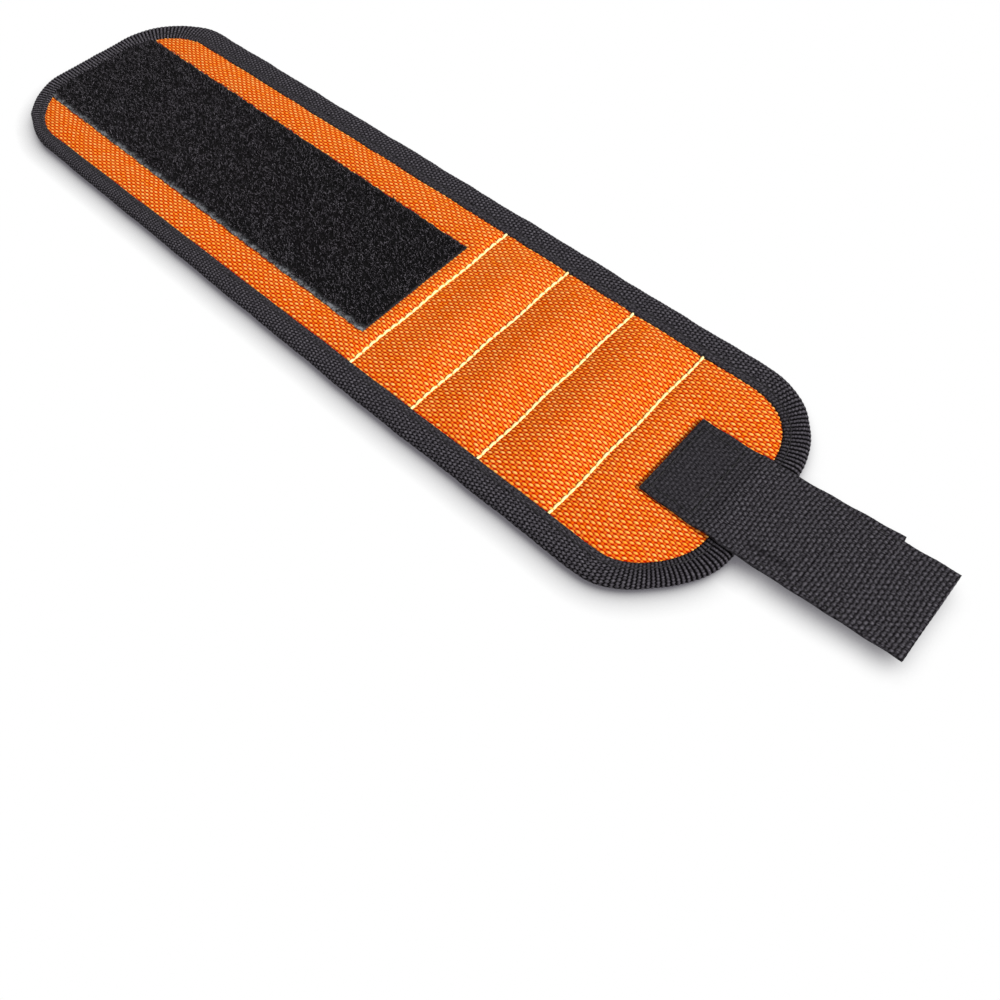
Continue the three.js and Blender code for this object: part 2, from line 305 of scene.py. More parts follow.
def woven_polyester():
    """Coarse woven polyester. The lengthwise floats are yellow-orange, paler as painted sheen, and the
    crosswise ones deeper orange, each a little darker or lighter from crossing to crossing, with
    painted red-brown shade in the gaps."""
    keys = "lift", "lengthwise", "tone"
    material, tree, place, lift, over, tone = new_material("woven_polyester_orange", *keys)
    yarns = []
    # Painted sheen: the lengthwise floats, the second pair, are painted paler than the crosswise ones
    for dark, light in (("#ff7e06", "#ffa028"), ("#ff9e2c", "#ffc062")):
        shades = {"Factor": tone, "A": dark, "B": light}
        yarns.append(add(tree, "ShaderNodeMix", shades, data_type="RGBA"))
    yarn = add(tree, "ShaderNodeMix", {"Factor": over, "A": yarns[0], "B": yarns[1]}, data_type="RGBA")
    # Painted shade: where the lift is low, in the gaps between the yarns, the colour turns red-brown
    level = add(tree, "ShaderNodeMapRange", {"Value": lift, "From Min": 0.24, "From Max": 0.95})
    colour = add(tree, "ShaderNodeMix", {"Factor": level, "A": "#ac0e00", "B": yarn}, data_type="RGBA")
    rough = add(tree, "ShaderNodeMapRange", {"Value": lift, "To Min": 0.85, "To Max": 0.55})
    fibres = add(tree, "ShaderNodeTexNoise", {"Vector": place, "Scale": grains(0.22)})
    return finish_material(material, colour, rough, fibres, 0.03, 0.0)


def ribbed_yarns(name, groove_shade, dark, light, depth):
    """A ribbed tape: its yarns are dark and light in strands along it, the light ones by as much as
    its tone says, and its grooves are painted dark as shade up to this depth."""
    keys = "lift", "along", "across", "tone"
    material, tree, place, lift, along, across, tone = new_material(name, *keys)
    strand = add(tree, "ShaderNodeCombineXYZ", {"X": along, "Y": across})
    strand = add(tree, "ShaderNodeMapping", {"Vector": strand, "Scale": (0.9, 2.8, 1)})
    strand = add(tree, "ShaderNodeTexNoise", {"Vector": strand, "Scale": 1.0})
    strand = add(tree, "ShaderNodeMapRange", {"Value": strand, "From Min": 0.36, "From Max": 0.64})
    strand = add(tree, "ShaderNodeMath", {0: strand, 1: tone}, operation="MULTIPLY")
    yarn = add(tree, "ShaderNodeMix", {"Factor": strand, "A": dark, "B": light}, data_type="RGBA")
    # Painted shade: where the lift is low, in the grooves, the colour turns near black
    level = add(tree, "ShaderNodeMapRange", {"Value": lift, "From Min": depth, "From Max": 0.95})
    colour = add(tree, "ShaderNodeMix", {"Factor": level, "A": groove_shade, "B": yarn}, data_type="RGBA")
    rough = add(tree, "ShaderNodeMapRange", {"Value": lift, "To Min": 0.9, "To Max": 0.6})
    fibres = add(tree, "ShaderNodeTexNoise", {"Vector": place, "Scale": grains(0.2)})
    return finish_material(material, colour, rough, fibres, 0.03, 0.03)


def nylon_loops():
    """Brushed nylon loops: near black in clumps, and grey where a clump catches the light."""
    material, tree, place, tone = new_material("nylon_loop_pile", "tone")
    clump = add(tree, "ShaderNodeTexNoise", {"Vector": place, "Scale": grains(0.42)})
    clump = add(tree, "ShaderNodeMapRange", {"Value": clump, "From Min": 0.42, "From Max": 0.64})
    light = {"Factor": tone, "A": "#151316", "B": "#6b676d"}
    light = add(tree, "ShaderNodeMix", light, data_type="RGBA")
    colour = add(tree, "ShaderNodeMix", {"Factor": clump, "A": "#040304", "B": light}, data_type="RGBA")
    rough = add(tree, "ShaderNodeMapRange", {"Value": clump, "To Min": 0.9, "To Max": 0.7})
    return finish_material(material, colour, rough, clump, 0.02, 0.03)


def loop_ground():
    """Knitted ground of the loop tape: near black between the loops, as painted shade, with bare
    edges. The front edge has a pale fringe of cut yarns."""
    material, tree, place, pile, front = new_material("nylon_loop_ground", "pile", "front")
    fibres = add(tree, "ShaderNodeTexNoise", {"Vector": place, "Scale": grains(0.9)})
    yarn = add(tree, "ShaderNodeMapRange", {"Value": fibres, "From Min": 0.36, "From Max": 0.64})
    edges = []
    for dark, light in (("#1c1b1d", "#353438"), ("#222224", "#7e8084")):
        shades = {"Factor": yarn, "A": dark, "B": light}
        edges.append(add(tree, "ShaderNodeMix", shades, data_type="RGBA"))
    edge = add(tree, "ShaderNodeMix", {"Factor": front, "A": edges[0], "B": edges[1]}, data_type="RGBA")
    # Painted shade: where the pile stands, the ground is painted near black
    colour = add(tree, "ShaderNodeMix", {"Factor": pile, "A": edge, "B": "#070607"}, data_type="RGBA")
    rough = add(tree, "ShaderNodeMapRange", {"Value": fibres, "To Min": 0.8, "To Max": 0.95})
    return finish_material(material, colour, rough, fibres, 0.08, 0.1)


def plain_yarns(name, dark, light, grain, depth, roughness, specular):
    """One dyed fibre, darker and lighter in grains of this size."""
    material, tree, place = new_material(name)
    fibres = add(tree, "ShaderNodeTexNoise", {"Vector": place, "Scale": grains(grain)})
    colour = add(tree, "ShaderNodeMix", {"Factor": fibres, "A": dark, "B": light}, data_type="RGBA")
    spread = {"Value": fibres, "To Min": roughness - 0.1, "To Max": roughness + 0.1}
    rough = add(tree, "ShaderNodeMapRange", spread)
    return finish_material(material, colour, rough, fibres, depth, specular)


def air_mesh():
    """Knitted spacer mesh: soft black, with painted shade, darker, in its open eyelets."""
    material, tree, place, eyelet = new_material("knitted_air_mesh", "eyelet")
    fibres = add(tree, "ShaderNodeTexNoise", {"Vector": place, "Scale": grains(0.5)})
    ground = {"Factor": fibres, "A": "#1a191b", "B": "#343235"}
    ground = add(tree, "ShaderNodeMix", ground, data_type="RGBA")
    # Painted shade: the open eyelets are painted darker
    colour = {"Factor": eyelet, "A": ground, "B": "#060506"}
    colour = add(tree, "ShaderNodeMix", colour, data_type="RGBA")
    rough = add(tree, "ShaderNodeMapRange", {"Value": fibres, "To Min": 0.8, "To Max": 0.95})
    return finish_material(material, colour, rough, fibres, 0.06, 0.15)


def nickel_plate():
    """Nickel-plated magnet: pale warm metal with fine handling marks."""
    material, tree, place = new_material("nickel_plate")
    marks = add(tree, "ShaderNodeTexNoise", {"Vector": place, "Scale": grains(0.4)})
    patch = add(tree, "ShaderNodeTexNoise", {"Vector": place, "Scale": grains(2.0)})
    colour = {"Factor": patch, "A": "#b4b3ad", "B": "#cfccc4"}
    colour = add(tree, "ShaderNodeMix", colour, data_type="RGBA")
    rough = add(tree, "ShaderNodeMapRange", {"Value": marks, "To Min": 0.15, "To Max": 0.4})
    return finish_material(material, colour, rough, marks, 0.01, metallic=1.0)


ORANGE = woven_polyester()
# Woven polyester binding tape: black, with near-black painted shade in its grooves, and grey beads
BINDING = ribbed_yarns("ribbed_polyester_tape", "#020102", "#2d2a2f", "#747077", 0.3)
LOOPS = nylon_loops()
LOOP_GROUND = loop_ground()
# Woven polypropylene: charcoal ribs, with near-black painted shade in the grooves between them
WEBBING = ribbed_yarns("polypropylene_webbing", "#080708", "#1e1c20", "#5e5b61", 0.12)
# Moulded nylon hooks on a woven ground: black with a slight gloss
HOOKS = plain_yarns("moulded_nylon_hooks", "#131113", "#2b292b", 0.7, 0.04, 0.5, 0.3)
LINING = air_mesh()
# Twisted polyester thread with a soft sheen, pale lemon or black
LEMON_THREAD = plain_yarns("lemon_thread", "#efcb55", "#fff8cc", 0.8, 0.06, 0.55, 0.2)
BLACK_THREAD = plain_yarns("black_thread", "#0b0a0b", "#1d1b1d", 0.7, 0.05, 0.55, 0.2)
NICKEL = nickel_plate()


# Meshes

def new_object(name, data):
    """An object in the scene."""
    made = bpy.data.objects.new(name, data)
    bpy.context.scene.collection.objects.link(made)
    return made


def new_piece(name, points, faces, material=None, flat=(), **values):
    """An object from points in millimetres, four-cornered faces, flat-shaded faces and values at
    the points."""
    mesh = bpy.data.meshes.new(name)
    points = np.reshape(points, (-1, 3))
    faces, flat = np.reshape(faces, (-1, 4)), np.reshape(flat, (-1, 4))
    corners = np.concatenate([faces, flat]).astype(np.int32)
    mesh.vertices.add(len(points))
    mesh.vertices.foreach_set("co", (points * MM).astype(np.float32).ravel())
    mesh.loops.add(corners.size)
    mesh.loops.foreach_set("vertex_index", corners.ravel())
    mesh.polygons.add(len(corners))
    mesh.polygons.foreach_set("loop_start", np.arange(0, corners.size, 4, dtype=np.int32))
    mesh.update(calc_edges=True)
    mesh.polygons.foreach_set("use_smooth", np.arange(len(corners)) < len(faces))
    for key, value in values.items():
        store = mesh.attributes.new(key, "FLOAT", "POINT")
        store.data.foreach_set("value", np.asarray(value, np.float32).ravel())
    if material:
        mesh.materials.append(material)
    return new_object(name, mesh)


def grid_faces(rows, columns, start=0):
    """Faces of a grid of points that face up when rows run along x and columns along y."""
    first = start + np.arange(rows - 1)[:, None] * columns + np.arange(columns - 1)
    return np.stack([first, first + columns, first + columns + 1, first + 1], -1).reshape(-1, 4)


def slab(name, place, top, bottom, material, **values):
    """A closed piece between two levels over a grid of places. Each value is a pair of grids, for its
    top and its bottom."""
    rows, columns = place[0].shape
    under = rows * columns
    index = np.arange(under).reshape(rows, columns)
    rim = np.concatenate([index[:, 0], index[-1, 1:], index[-2::-1, -1], index[0, -2:0:-1]])
    after = np.roll(rim, -1)
    walls = np.stack([rim, rim + under, after + under, after], -1)
    faces = np.concatenate([grid_faces(rows, columns), grid_faces(rows, columns, under)[:, ::-1]])
    points = [np.stack([*place, level], -1) for level in (top, bottom)]
    return new_piece(name, points, faces, material, walls, **values)


def join(first, *others):
    """Joins pieces into the first one."""
    with bpy.context.temp_override(
        active_object=first, object=first, selected_editable_objects=[first, *others]
    ):
        bpy.ops.object.join()
    return first


def grow(piece, tree, **sizes):
    """Runs a Geometry Nodes tree on a piece and keeps the result as a plain mesh."""
    modifier = piece.modifiers.new("grow", "NODES")
    modifier.node_group = tree
    for socket in tree.interface.items_tree:
        key = socket.name.lower()
        if socket.in_out == "INPUT" and key in sizes:
            modifier[socket.identifier] = sizes[key]
    bpy.context.view_layer.update()
    seen = piece.evaluated_get(bpy.context.evaluated_depsgraph_get())
    mesh = bpy.data.meshes.new_from_object(seen)
    piece.modifiers.remove(modifier)
    piece.data = mesh
    return piece


def new_tree(name, **sizes):
    """A Geometry Nodes tree with a geometry input and output and named sizes."""
    tree = bpy.data.node_groups.new(name, "GeometryNodeTree")
    tree.interface.new_socket("Geometry", in_out="INPUT", socket_type="NodeSocketGeometry")
    for key, value in sizes.items():
        kind = "NodeSocketInt" if isinstance(value, int) else "NodeSocketFloat"
        made = tree.interface.new_socket(key.capitalize(), in_out="INPUT", socket_type=kind)
        made.default_value = value
    tree.interface.new_socket("Geometry", in_out="OUTPUT", socket_type="NodeSocketGeometry")
    return tree, add(tree, "NodeGroupInput").outputs


def bent_thread(tree, bend_points, size, radius, steps, sides):
    """A thread along a curve through three points, which are scaled by a size."""
    line = dict(zip(("Start", "Middle", "End"), bend_points)) | {"Resolution": steps}
    line = add(tree, "GeometryNodeCurveQuadraticBezier", line)
    line = add(tree, "GeometryNodeTransform", {"Geometry": line, "Scale": size})
    ring = add(tree, "GeometryNodeCurvePrimitiveCircle", {"Resolution": sides, "Radius": radius})
    tube = {"Curve": line, "Profile Curve": ring, "Fill Caps": True}
    return add(tree, "GeometryNodeCurveToMesh", tube)


def finish_tree(tree, copies, material, ground=None):
    """Realizes the copies, gives them their material and adds the piece that they stand on."""
    result = add(tree, "GeometryNodeRealizeInstances", {"Geometry": copies})
    result = add(tree, "GeometryNodeSetShadeSmooth", {"Geometry": result})
    result = add(tree, "GeometryNodeSetMaterial", {"Geometry": result, "Material": material})
    if ground:
        result = add(tree, "GeometryNodeJoinGeometry", {"Geometry": result})
        tree.links.new(ground, result.inputs["Geometry"])
    add(tree, "NodeGroupOutput", {"Geometry": result})
    return tree


def stitch_tree(name, material, steps, sides):
    """Stitches along lines: each rises from one needle hole and dips into the next."""
    tree, given = new_tree(name, spacing=MM, length=MM, radius=MM, crown=MM)
    line = add(tree, "GeometryNodeMeshToCurve", {"Mesh": given["Geometry"]})
    spots = {"Curve": line, "Length": given["Spacing"]}
    spots = add(tree, "GeometryNodeCurveToPoints", spots, mode="LENGTH").outputs
    size = add(tree, "ShaderNodeCombineXYZ", {"X": given["Length"], "Y": 1.0, "Z": given["Crown"]})
    arch = (-0.5, 0, -1), (0, 0, 2), (0.5, 0, -1)
    stitch = bent_thread(tree, arch, size, given["Radius"], steps, sides)
    turn = {"Vector": spots["Tangent"]}
    turn = add(tree, "FunctionNodeAlignRotationToVector", turn, axis="X", pivot_axis="Z")
    copies = {"Points": spots["Points"], "Instance": stitch, "Rotation": turn}
    copies = add(tree, "GeometryNodeInstanceOnPoints", copies)
    return finish_tree(tree, copies, material)


def pile_tree(name, material):
    """Loops scattered over the upper face of a tape where its pile value is 1, leaning every way."""
    sizes = {"height": LOOP_HEIGHT * MM, "radius": LOOP_RADIUS * MM}
    tree, given = new_tree(name, density=LOOPS_PER_SQUARE_METRE, **sizes, seed=3)
    pile = add(tree, "GeometryNodeInputNamedAttribute", {"Name": "pile"})
    facing = add(tree, "ShaderNodeSeparateXYZ", {0: add(tree, "GeometryNodeInputNormal")})
    upper = add(tree, "ShaderNodeMath", {0: facing.outputs["Z"], 1: 0.5}, operation="GREATER_THAN")
    share = add(tree, "ShaderNodeMath", {0: pile, 1: upper}, operation="MULTIPLY")
    density = add(tree, "ShaderNodeMath", {0: share, 1: given["Density"]}, operation="MULTIPLY")
    spots = {"Mesh": given["Geometry"], "Density": density, "Seed": given["Seed"]}
    spots = add(tree, "GeometryNodeDistributePointsOnFaces", spots)
    arch = (-0.42, 0, 0), (0, 0, 2), (0.42, 0, 0)
    loop = bent_thread(tree, arch, given["Height"], given["Radius"], 4, 3)
    lean = {"Min": (-0.7, -0.7, 0), "Max": (0.7, 0.7, 2 * math.pi), "Seed": given["Seed"]}
    lean = add(tree, "FunctionNodeRandomValue", lean, data_type="FLOAT_VECTOR")
    size = {"Min": 0.65, "Max": 1.15, "Seed": given["Seed"]}
    size = add(tree, "FunctionNodeRandomValue", size, data_type="FLOAT")
    copies = {"Points": spots, "Instance": loop, "Rotation": lean, "Scale": size}
    copies = add(tree, "GeometryNodeInstanceOnPoints", copies)
    tone = add(tree, "FunctionNodeRandomValue", {"Seed": given["Seed"]}, data_type="FLOAT")
    kept = {"Geometry": copies, "Name": "tone", "Value": tone}
    kept = add(tree, "GeometryNodeStoreNamedAttribute", kept, domain="INSTANCE", data_type="FLOAT")
    return finish_tree(tree, kept, material, given["Geometry"])


def hook_tree(name, material):
    """One moulded hook on each face of a tape that looks down."""
    tree, given = new_tree(name, height=HOOK_HEIGHT * MM, radius=HOOK_RADIUS * MM)
    facing = add(tree, "ShaderNodeSeparateXYZ", {0: add(tree, "GeometryNodeInputNormal")})
    lower = {"A": facing.outputs["Z"], "B": -0.5}
    lower = add(tree, "FunctionNodeCompare", lower, operation="LESS_THAN")
    spots = {"Mesh": given["Geometry"], "Selection": lower}
    spots = add(tree, "GeometryNodeMeshToPoints", spots, mode="FACES")
    crook = (0, 0, 0.15), (0, 0, -2), (0.8, 0, -0.45)
    hook = bent_thread(tree, crook, given["Height"], given["Radius"], 6, 4)
    copies = add(tree, "GeometryNodeInstanceOnPoints", {"Points": spots, "Instance": hook})
    return finish_tree(tree, copies, material, given["Geometry"])


def rib_tree(name):
    """Ribs across a tape, and the beads of its crossing yarns, which step from rib to rib. The
    ribs are as much of the relief as the ribbed value says, and all of it is as high as raised says."""
    tree, given = new_tree(name, pitch=RIB_PITCH, height=RIB_HEIGHT * MM, yarn=BEAD_PITCH)
    read = {}
    for key in ("along", "across", "ribbed", "raised"):
        read[key] = add(tree, "GeometryNodeInputNamedAttribute", {"Name": key})
    count = add(tree, "ShaderNodeMath", {0: read["along"], 1: given["Pitch"]}, operation="DIVIDE")
    angle = add(tree, "ShaderNodeMath", {0: count, 1: 2 * math.pi}, operation="MULTIPLY")
    rib = add(tree, "ShaderNodeMath", {0: angle}, operation="COSINE")
    step = add(tree, "ShaderNodeMath", {0: count}, operation="ROUND")
    beads = add(tree, "ShaderNodeMath", {0: read["across"], 1: given["Yarn"]}, operation="DIVIDE")
    beads = add(tree, "ShaderNodeMath", {0: step, 1: 0.5, 2: beads}, operation="MULTIPLY_ADD")
    beads = add(tree, "ShaderNodeMath", {0: beads, 1: 2 * math.pi}, operation="MULTIPLY")
    bead = add(tree, "ShaderNodeMath", {0: beads}, operation="COSINE")
    lift = add(tree, "ShaderNodeMix", {"Factor": read["ribbed"], "A": bead, "B": rib})
    lift = add(tree, "ShaderNodeMath", {0: lift, 1: read["raised"]}, operation="MULTIPLY")
    share = add(tree, "ShaderNodeMath", {0: lift, 1: 0.5, 2: 0.5}, operation="MULTIPLY_ADD")
    kept = {"Geometry": given["Geometry"], "Name": "lift", "Value": share}
    kept = add(tree, "GeometryNodeStoreNamedAttribute", kept, domain="POINT", data_type="FLOAT")
    push = add(tree, "ShaderNodeMath", {0: lift, 1: given["Height"]}, operation="MULTIPLY")
    push = {0: add(tree, "GeometryNodeInputNormal"), "Scale": push}
    push = add(tree, "ShaderNodeVectorMath", push, operation="SCALE")
    moved = add(tree, "GeometryNodeSetPosition", {"Geometry": kept, "Offset": push})
    add(tree, "NodeGroupOutput", {"Geometry": moved})
    return tree


def face_out(piece, cap=False):
    """Turns a piece's faces outwards, after closing its cut ends with flat faces if asked."""
    shape = bmesh.new()
    shape.from_mesh(piece.data)
    if cap:
        rim = [edge for edge in shape.edges if edge.is_boundary]
        for face in bmesh.ops.holes_fill(shape, edges=rim, sides=0)["faces"]:
            face.smooth = False
    bmesh.ops.recalc_face_normals(shape, faces=shape.faces)
    shape.to_mesh(piece.data)
    shape.free()


def line_piece(name, lines):
    """Loose lines of points, for stitches to follow."""
    points = np.concatenate(lines) * MM
    edges, start = [], 0
    for line in lines:
        edges += [(start + i, start + i + 1) for i in range(len(line) - 1)]
        start += len(line)
    mesh = bpy.data.meshes.new(name)
    mesh.from_pydata(points.tolist(), edges, [])
    return new_object(name, mesh)


def sew(name, lines, tree, sizes):
    """Stitches of these sizes along lines of points."""
    sizes = dict(zip(("spacing", "length", "radius", "crown"), [size * MM for size in sizes]))
    return grow(line_piece(name, lines), tree, **sizes)


RIBS = rib_tree("tape_ribs")
PILE = pile_tree("loop_pile", LOOPS)
LEMON_STITCHES = stitch_tree("lemon_stitches", LEMON_THREAD, 7, 8)
BLACK_STITCHES = stitch_tree("black_stitches", BLACK_THREAD, 5, 6)
HOOK_ROWS = hook_tree("hook_rows", HOOKS)


# Cloth

# Tones of the yarns where they cross, from 0 to 1, repeated over the cloth
YARN_TONES = np.random.default_rng(5).random((97, 97))


def half_outline(x, side, loop_end, strap_end):
    """Half the band's width at x, inside its edge by these insets."""
    half = np.full_like(x, HALF_WIDTH - side)
    ends = [
        (x - LOOP_END - loop_end, LOOP_CORNER - (side + loop_end) / 2),
        (STRAP_END - strap_end - x, STRAP_CORNER - (side + strap_end) / 2),
    ]
    for depth, radius in ends:
        short = radius - np.clip(depth, 0, radius)
        half = np.minimum(half, HALF_WIDTH - side - radius + np.sqrt(radius**2 - short**2))
    return half


def plain_weave(along, across):
    """Height of a plain weave from -1 to 1, how much of a lengthwise yarn lies on top, and the tone
    of the yarn on top. The lengthwise yarns are twisted, so that their floats lie aslant, and they
    draw the crosswise yarns down a little."""
    i, j = along / COLUMN_PITCH, across / ROW_PITCH
    column, row = np.round(i), np.round(j)
    level, fall = LENGTHWISE_YARN
    lengthwise = 0.5 * np.cos(np.pi * (i + row - YARN_SLANT * (j - row))) + level - fall * (j - row) ** 2
    level, fall = CROSSWISE_YARN
    crosswise = -0.5 * np.cos(np.pi * (column + j)) + level - fall * (i - column) ** 2
    height = 2 * np.maximum(lengthwise, crosswise) - 1
    share = 1 / (1 + np.exp(-8 * (lengthwise - crosswise)))
    tone = YARN_TONES[column.astype(int) % len(YARN_TONES), row.astype(int) % len(YARN_TONES)]
    return np.clip(height, -1, 1), share, tone


def yarn_drift(x, y):
    """How far the yarns wander from straight, along the band and across it."""
    along = 0.3 * np.sin(y / 7.1 + x / 41) + 0.15 * np.sin(y / 2.9 + x / 9)
    across = 0.35 * np.sin(x / 8.3 + y / 37) + 0.15 * np.sin(x / 3.7 + y / 11)
    return along, across


def crown(x, y):
    """Rise of the outer cloth, from 0 to 1. Each pocket swells by its own share, to a peak at its own
    share of its width."""
    swell = np.ones_like(x)
    for low, high, peak, most in zip(STITCH_LINES, STITCH_LINES[1:], POCKET_PEAKS, POCKET_SWELLS):
        share = np.clip((x - low) / (high - low), 0, 1) ** (math.log(0.5) / math.log(peak))
        inside = (x > low) & (x < high)
        swell = np.where(inside, most * (0.3 + 2.8 * share * (1 - share)), swell)
        x = np.where(inside, low + (high - low) * share, x)
    return swell * read_rise(SHELL_RISE, x, y)


def blown_cloth(xs, ys, sewn):
    """How far cloth rises where it is sewn down at some points of a grid and blown up between them
    by a cloth simulation."""
    enlarged, steps, pressure = 50, 20, 4.0
    x, y = np.meshgrid(xs, ys, indexing="ij")
    points = np.dstack([x, y, np.zeros_like(x)])
    trial = new_piece("cloth_trial", points * enlarged, grid_faces(*x.shape))
    group = trial.vertex_groups.new(name="sewn")
    group.add([int(i) for i in np.flatnonzero(sewn.ravel())], 1.0, "REPLACE")
    cloth = trial.modifiers.new("cloth", "CLOTH")
    cloth.settings.vertex_group_mass = "sewn"
    cloth.settings.use_pressure = True
    cloth.settings.uniform_pressure_force = pressure
    cloth.settings.effector_weights.gravity = 0.0
    cloth.collision_settings.use_collision = False
    scene = bpy.context.scene
    for step in range(1, steps + 1):
        scene.frame_set(step)
    seen = trial.evaluated_get(bpy.context.evaluated_depsgraph_get())
    place = np.zeros(points.size, np.float32)
    seen.data.vertices.foreach_get("co", place)
    scene.frame_set(1)
    bpy.data.objects.remove(trial)
    return np.maximum(place.reshape(points.shape)[..., 2], 0)


def smooth_read(table, rows, columns):
    """A table read between its points along smooth curves."""
    rows = np.clip(rows, 0, table.shape[0] - 1.001)
    columns = np.clip(columns, 0, table.shape[1] - 1.001)
    row, column = np.floor(rows).astype(int), np.floor(columns).astype(int)

    def weights(t):
        """Weights of the four points around a place."""
        return (
            t * (-0.5 + t * (1 - 0.5 * t)),
            1 + t * t * (1.5 * t - 2.5),
            t * (0.5 + t * (2 - 1.5 * t)),
            t * t * (0.5 * t - 0.5),
        )

    total = 0.0
    for i, row_weight in enumerate(weights(rows - row)):
        for j, column_weight in enumerate(weights(columns - column)):
            r = np.clip(row + i - 1, 0, table.shape[0] - 1)
            c = np.clip(column + j - 1, 0, table.shape[1] - 1)
            total = total + row_weight * column_weight * table[r, c]
    return total


def eased(value, low, high):
    """From 0 at low to 1 at high, with soft ends."""
    t = np.clip((value - low) / (high - low), 0, 1)
    return t * t * (3 - 2 * t)


def seam_share(x, reach):
    """How near x is to a stitch line: 1 on it, falling off over this reach."""
    return sum(np.exp(-(((x - line) / reach) ** 2)) for line in STITCH_LINES)


def strap_middle(u):
    """y of the strap's middle line."""
    past = np.maximum(u - STRAP_TURN_AT, 0)
    return STRAP_START[1] + STRAP_TURN * past * past / (past + 4)


def strap_place(u, v):
    """x and y of a point on the strap."""
    return STRAP_START[0] + u, strap_middle(u) + v


def on_strap(x, y):
    """u and v on the strap of a point of the band."""
    u = x - STRAP_START[0]
    return u, y - strap_middle(u)


def as_sewn(x, y):
    """Places on the outline moved to where they are on this band."""
    to_window = np.clip(np.abs(y) / WINDOW_HALF * 2 - 1, 0, 1)
    past_window = np.clip((np.abs(y) - WINDOW_HALF) / SIDE_LAP, 0, 1.2)
    drawn = (x - LOOP_END - FRONT_DRAWN_TO) / (FRONT_DRAWN_FROM - FRONT_DRAWN_TO)
    drawn = FRONT_DRAWN_IN * (1 - np.clip(drawn, 0, 1))
    rear = REAR_WINDOW_OUT * to_window + (REAR_EDGE_OUT - REAR_WINDOW_OUT) * past_window
    front = FRONT_WINDOW_OUT * to_window
    front = front + (FRONT_EDGE_OUT - FRONT_WINDOW_OUT - drawn) * past_window
    stretch = LOOP_END_OUT * np.clip((LOOP_END + 2 * LOOP_END_LAP - x) / (2 * LOOP_END_LAP), 0, 1)
    shrink = STRAP_END_IN * np.clip((x - STRAP_END) / (2 * STRAP_END_LAP) + 1, 0, 1)
    sewn_x, sewn_y = x - stretch - shrink, y + np.where(y > 0, rear, -front)
    for end, radius, side, at_window, at_edge in CORNERS_OUT:
        dx, dy = x - end - radius, y - side * (HALF_WIDTH - abs(radius))
        far = np.hypot(dx, dy) + 1e-6
        inner = abs(radius) - SIDE_LAP
        slant = 2 * np.clip(-np.sign(radius) * dx, 0, None) * np.clip(side * dy, 0, None) / far**2
        share = at_window + (at_edge - at_window) * np.clip((far - inner) / SIDE_LAP, 0, 1)
        out = share * slant**1.5 * np.clip(far / inner, 0, 1) ** 2
        sewn_x, sewn_y = sewn_x + out * dx / far, sewn_y + out * dy / far
    return sewn_x, sewn_y


RISE_STEP = (STITCH_LINES[1] - STITCH_LINES[0]) / 20
RISE_BEFORE = math.ceil((STITCH_LINES[0] - LOOP_END - LOOP_END_LAP) / RISE_STEP)
RISE_AFTER = math.ceil((STRAP_END - STRAP_END_LAP - STITCH_LINES[0]) / RISE_STEP)
RISE_X = STITCH_LINES[0] + RISE_STEP * np.arange(-RISE_BEFORE, RISE_AFTER + 1)
RISE_Y = np.linspace(-WINDOW_HALF, WINDOW_HALF, 49)


def rises():
    """Rise of the outer cloth and of the lining on the grid above, 1 over a pocket's middle."""
    x, y = np.meshgrid(RISE_X, RISE_Y, indexing="ij")
    sewn = np.abs(y) > half_outline(x, *LAPS) - 0.8
    for line in STITCH_LINES:
        sewn |= np.abs(x - line) < RISE_STEP / 4
    u, v = on_strap(x, y)
    covered = (u > -1) & (np.abs(v) < STRAP_HALF + 1)
    covered |= (x < TAPE_END) & (y > TAPE_FRONT) & (y < TAPE_REAR)
    middle = np.argmin(np.abs(RISE_X - (STITCH_LINES[1] + STITCH_LINES[2]) / 2))
    made = []
    for held in (sewn | covered, sewn):
        rise = blown_cloth(RISE_X, RISE_Y, held)
        made.append(np.clip(rise / rise[middle, len(RISE_Y) // 2], 0, 1.1))
    return made


SHELL_RISE, LINING_RISE = rises()


def read_rise(table, x, y):
    """Rise at places of the band, from one of those two tables."""
    row = (x - RISE_X[0]) / RISE_STEP
    column = (y - RISE_Y[0]) / (RISE_Y[1] - RISE_Y[0])
    return smooth_read(table, row, column)


def bend(piece):
    """Bakes a piece's placement into its points."""
    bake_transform(piece)


def stand_for(piece, i, *endings):
    """Hides the solids with these endings of the panel at bend line i, and at the last bend line
    those of both its panels. The piece is not used.
    """
    panels = PANELS[i:] if i == len(BENDS) - 1 else PANELS[i:i + 1]
    names = [panel + ending for panel in panels for ending in endings]
    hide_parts(*[name for name in names if name in frame["nodes"]])


def cloth_grid(i, x_step, ys):
    """Points of a cloth piece between two cuts, drawn in at the band's round ends."""
    low = max(CUTS[i], LOOP_END + CLOTH_INSET)
    high = min(CUTS[i + 1], STRAP_END - CLOTH_INSET)
    xs = np.linspace(low, high, math.ceil((high - low) / x_step) + 1)
    half = half_outline(xs, CLOTH_INSET, CLOTH_INSET, CLOTH_INSET)
    x = np.repeat(xs[:, None], len(ys), 1)
    return x, half[:, None] * (np.asarray(ys) / CLOTH_HALF)[None, :]


def stations(*stops):
    """Values through stops of (value, step to it), without repeats."""
    values = [np.array([stops[0][0]])]
    for (low, _), (high, step) in zip(stops, stops[1:]):
        values.append(np.linspace(low, high, max(1, math.ceil((high - low) / step)) + 1)[1:])
    return np.concatenate(values)


